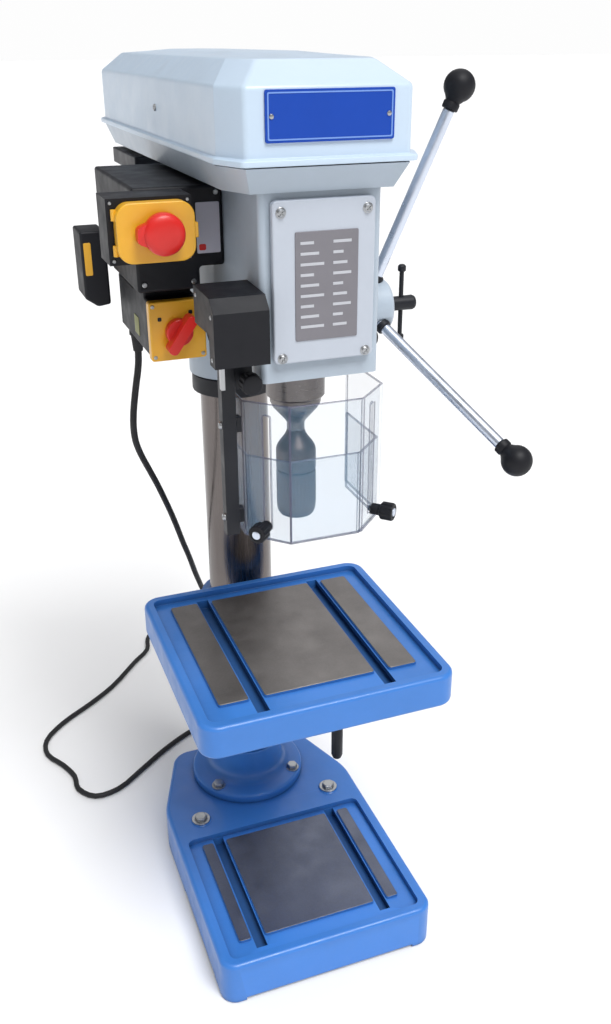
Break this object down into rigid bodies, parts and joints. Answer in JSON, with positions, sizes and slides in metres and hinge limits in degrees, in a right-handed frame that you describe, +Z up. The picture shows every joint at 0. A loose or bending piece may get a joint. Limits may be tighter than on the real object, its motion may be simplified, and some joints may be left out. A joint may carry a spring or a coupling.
{
  "type": "bench drill press",
  "caption": "Bench drill press with slotted base and table on a round column, belt-driven head, rack-fed quill, keyless chuck and swinging clear guard.",
  "frame": {"origin": "on the floor, under the middle of the machine without its cord", "axes": "+Z up along the column, -Y towards the operator, +X to the operator's right"},
  "size_m": [0.4842, 0.9225, 1.055],
  "materials": {
    "blue_casting": "gloss enamel over casting, bare machined pads",
    "ground_steel": "ground, lightly oiled",
    "grey_casting": "light blue-grey enamel, fine cast texture",
    "pale_plate": "light grey enamel on plate",
    "cover_shell": "light blue-grey, smooth moulded skin",
    "black_painted_steel": "satin black",
    "blue_plate": "printed blue, blank",
    "pulley_alloy": "turned",
    "belt_rubber": "matt",
    "chuck_steel": "turned and knurled",
    "lever_chrome": "bright",
    "black_plastic": "satin black moulding",
    "yellow_plastic": "semi-gloss safety yellow",
    "red_plastic": "semi-gloss red",
    "green_plastic": "semi-gloss green",
    "clear_guard": "clear polycarbonate sheet",
    "cord_rubber": "matt black flex"
  },
  "bodies": {
    "frame": {"base_casting": "blue_casting", "column_flange": "blue_casting", "column": "ground_steel", "head_casting": "grey_casting", "head_front_plate": "pale_plate", "head_support_collar": "black_painted_steel", "belt_pan": "grey_casting", "motor_plate": "black_painted_steel", "motor_body": "black_painted_steel", "return_spring_cap": "black_painted_steel", "control_box": "black_plastic", "junction_box": "black_plastic", "estop_housing": "black_plastic", "rotary_switch_box": "black_plastic", "rotary_switch_plate": "yellow_plastic", "guard_switch_box": "black_plastic", "front_belt": "belt_rubber", "rear_belt": "belt_rubber", "cord_gland": "cord_rubber", "power_cord": "cord_rubber", "cord_coil": "cord_rubber", "plug": "cord_rubber"},
    "belt_cover": {"belt_lid": "cover_shell", "name_plate": "blue_plate"},
    "rest_ring": {"table_rest_ring": "ground_steel"},
    "table": {"table_bracket": "blue_casting", "work_table": "blue_casting"},
    "table_lock": {"table_lock_lever": "black_painted_steel"},
    "column_clamp": {"column_clamp_lever": "black_painted_steel"},
    "feed_wheel": {"feed_pinion": "ground_steel", "lever_hub": "grey_casting", "feed_lever_1": "lever_chrome", "feed_lever_2": "lever_chrome", "feed_lever_3": "lever_chrome", "feed_knob_1": "black_plastic", "feed_knob_2": "black_plastic", "feed_knob_3": "black_plastic"},
    "dial": {"depth_dial": "pulley_alloy"},
    "stop": {"stop_screw": "black_painted_steel"},
    "stop_bar": {"tommy_bar": "black_painted_steel"},
    "quill_body": {"quill": "ground_steel"},
    "spindle_body": {"spindle": "ground_steel", "chuck_body": "chuck_steel"},
    "sleeve": {"chuck_sleeve": "chuck_steel"},
    "jaw_1": {"chuck_jaw_1": "chuck_steel"},
    "jaw_2": {"chuck_jaw_2": "chuck_steel"},
    "jaw_3": {"chuck_jaw_3": "chuck_steel"},
    "spindle_drive": {"spindle_pulley": "pulley_alloy"},
    "idler": {"idler_pulley": "pulley_alloy"},
    "motor_rotor": {"motor_pulley": "pulley_alloy"},
    "flap": {"estop_flap": "yellow_plastic"},
    "stop_button": {"estop_button": "red_plastic"},
    "go_button": {"start_button": "green_plastic"},
    "reversing_knob": {"rotary_knob": "red_plastic"},
    "guard": {"guard_post": "black_painted_steel", "upper_shield": "clear_guard"},
    "guard_lower": {"lower_shield": "clear_guard"},
    "guard_clamp": {"guard_post_knob": "black_plastic"},
    "left_knob": {"guard_knob_left": "black_plastic"},
    "right_knob": {"guard_knob_right": "black_plastic"}
  },
  "joints": [
    {"name": "table_height", "type": "slide", "parent": "frame", "child": "rest_ring", "axis": [0, 0, 1], "range_m": [-0.14, 0.07]},
    {"name": "table_swing", "type": "hinge", "parent": "rest_ring", "child": "table", "pos_m": [-0.009, 0.0472, 0.306], "axis": [0, 0, 1], "range_deg": [0, 100]},
    {"name": "table_lock_turn", "type": "hinge", "parent": "table", "child": "table_lock", "pos_m": [-0.009, -0.1528, 0.344], "axis": [1, 0, 0], "range_deg": [-60, 60]},
    {"name": "column_clamp_turn", "type": "hinge", "parent": "table", "child": "column_clamp", "pos_m": [-0.009, 0.1132, 0.339], "axis": [1, 0, 0], "range_deg": [0, 100]},
    {"name": "lid_open", "type": "hinge", "parent": "frame", "child": "belt_cover", "pos_m": [-0.009, 0.3372, 0.968], "axis": [-1, 0, 0], "range_deg": [0, 75]},
    {"name": "feed_turn", "type": "hinge", "parent": "frame", "child": "feed_wheel", "pos_m": [-0.009, -0.1438, 0.804], "axis": [1, 0, 0], "range_deg": [0, 360], "stiffness_Nm_per_rad": 0.1, "springref_deg": -515.66},
    {"name": "quill_travel", "type": "slide", "parent": "frame", "child": "quill_body", "axis": [0, 0, -1], "range_m": [0, 0.08168]},
    {"name": "depth_dial_set", "type": "hinge", "parent": "feed_wheel", "child": "dial", "pos_m": [0.074, -0.1438, 0.804], "axis": [1, 0, 0], "range_deg": [-175, 175]},
    {"name": "stop_screw_turn", "type": "hinge", "parent": "feed_wheel", "child": "stop", "pos_m": [0.111, -0.1438, 0.804], "axis": [1, 0, 0], "range_deg": [-180, 180]},
    {"name": "tommy_bar_slide", "type": "slide", "parent": "stop", "child": "stop_bar", "axis": [0, 0, 1], "range_m": [-0.026, 0.026]},
    {"name": "spindle_drive_spin", "type": "hinge", "parent": "frame", "child": "spindle_drive", "pos_m": [-0.009, -0.1818, 0.99], "axis": [0, 0, 1], "continuous": true},
    {"name": "spindle_spin", "type": "hinge", "parent": "quill_body", "child": "spindle_body", "pos_m": [-0.009, -0.1818, 0.7], "axis": [0, 0, 1], "continuous": true},
    {"name": "idler_spin", "type": "hinge", "parent": "frame", "child": "idler", "pos_m": [-0.009, 0.0022, 0.99], "axis": [0, 0, 1], "continuous": true},
    {"name": "motor_spin", "type": "hinge", "parent": "frame", "child": "motor_rotor", "pos_m": [-0.009, 0.2122, 0.99], "axis": [0, 0, 1], "continuous": true},
    {"name": "chuck_sleeve_turn", "type": "hinge", "parent": "spindle_body", "child": "sleeve", "pos_m": [-0.009, -0.1818, 0.62], "axis": [0, 0, 1], "range_deg": [0, 720]},
    {"name": "chuck_jaw_1_slide", "type": "slide", "parent": "spindle_body", "child": "jaw_1", "axis": [-0.0707, 0.1225, 0.9899], "range_m": [0, 0.006]},
    {"name": "chuck_jaw_2_slide", "type": "slide", "parent": "spindle_body", "child": "jaw_2", "axis": [-0.0707, -0.1225, 0.9899], "range_m": [0, 0.006]},
    {"name": "chuck_jaw_3_slide", "type": "slide", "parent": "spindle_body", "child": "jaw_3", "axis": [0.1414, 0, 0.9899], "range_m": [0, 0.006]},
    {"name": "estop_flap_open", "type": "hinge", "parent": "frame", "child": "flap", "pos_m": [-0.186, -0.1881, 0.906], "axis": [0, 0, -1], "range_deg": [0, 90]},
    {"name": "estop_press", "type": "slide", "parent": "flap", "child": "stop_button", "axis": [0, 1, 0], "range_m": [0, 0.0035], "stiffness_N_per_m": 900, "springref_m": -0.002},
    {"name": "start_press", "type": "slide", "parent": "frame", "child": "go_button", "axis": [0, 1, 0], "range_m": [0, 0.003], "stiffness_N_per_m": 700, "springref_m": -0.001},
    {"name": "rotary_knob_turn", "type": "hinge", "parent": "frame", "child": "reversing_knob", "pos_m": [-0.121, -0.1528, 0.797], "axis": [0, 1, 0], "range_deg": [0, 90]},
    {"name": "guard_swing", "type": "hinge", "parent": "frame", "child": "guard", "pos_m": [-0.098, -0.2328, 0.8], "axis": [0, 0, 1], "range_deg": [-110, 0]},
    {"name": "guard_height", "type": "slide", "parent": "guard", "child": "guard_lower", "axis": [0, 0, 1], "range_m": [0, 0.07]},
    {"name": "guard_clamp_turn", "type": "hinge", "parent": "guard", "child": "guard_clamp", "pos_m": [-0.082, -0.2428, 0.772], "axis": [0, 1, 0], "range_deg": [-180, 180]},
    {"name": "left_knob_turn", "type": "hinge", "parent": "guard_lower", "child": "left_knob", "pos_m": [-0.0655, -0.25305, 0.618], "axis": [-0.7071, -0.7071, 0], "range_deg": [-180, 180]},
    {"name": "right_knob_turn", "type": "hinge", "parent": "guard_lower", "child": "right_knob", "pos_m": [0.0475, -0.25305, 0.618], "axis": [0.7071, -0.7071, 0], "range_deg": [-180, 180]}
  ],
  "couplings": [
    {"joint": "quill_travel", "follows": "feed_turn", "m_per_rad": 0.013},
    {"joint": "spindle_spin", "follows": "spindle_drive_spin", "ratio": 1},
    {"joint": "idler_spin", "follows": "spindle_drive_spin", "ratio": 0.7253},
    {"joint": "motor_spin", "follows": "spindle_drive_spin", "ratio": 0.6522},
    {"joint": "chuck_jaw_1_slide", "follows": "chuck_sleeve_turn", "m_per_rad": 0.00047746},
    {"joint": "chuck_jaw_2_slide", "follows": "chuck_sleeve_turn", "m_per_rad": 0.00047746},
    {"joint": "chuck_jaw_3_slide", "follows": "chuck_sleeve_turn", "m_per_rad": 0.00047746}
  ]
}
